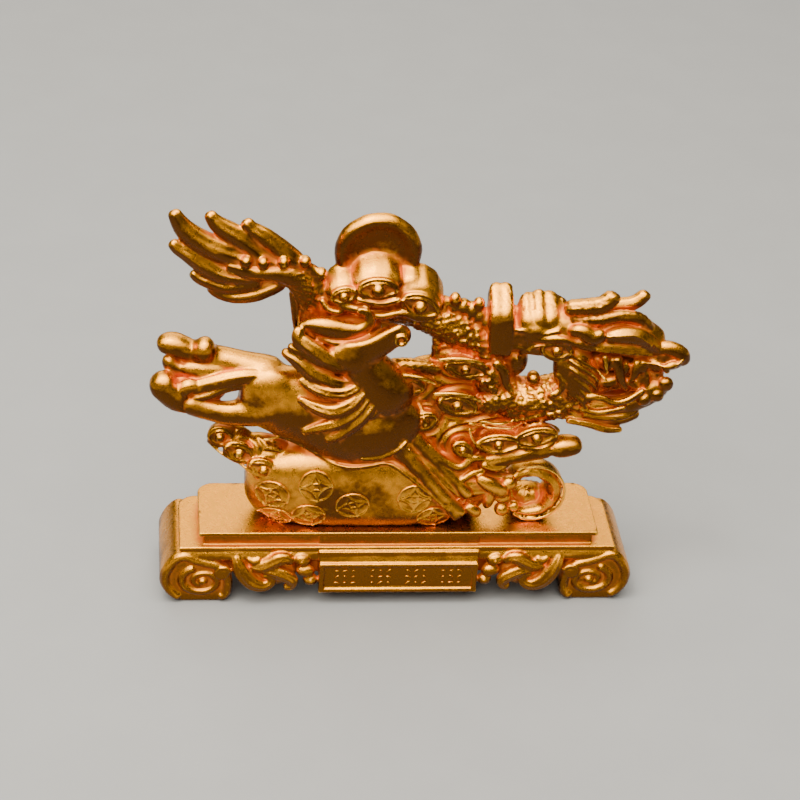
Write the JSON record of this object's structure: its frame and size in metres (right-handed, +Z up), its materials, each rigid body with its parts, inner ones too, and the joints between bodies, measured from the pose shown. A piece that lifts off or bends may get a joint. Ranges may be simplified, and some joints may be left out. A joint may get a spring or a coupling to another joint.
{
  "type": "dragon sculpture",
  "caption": "Gilded ornament of a dragon flying beside a horse that gallops over a sack of coins, with a disc and clouds, on a stepped plinth with volute feet.",
  "frame": {"origin": "on the surface it stands on, under the middle of the whole ornament's bounding box", "axes": "+X along the plinth towards the dragon's snout, +Y from the plaque towards the plain back, +Z up"},
  "size_m": [0.2, 0.0394, 0.159],
  "materials": {
    "gilt_plinth": "grainy gilding with orange-red glaze in the recesses",
    "gilt_figure": "polished gilding with orange-red glaze in the recesses"
  },
  "bodies": {
    "root": {"plinth": "gilt_plinth", "dragon_and_horse": "gilt_figure"}
  },
  "joints": []
}
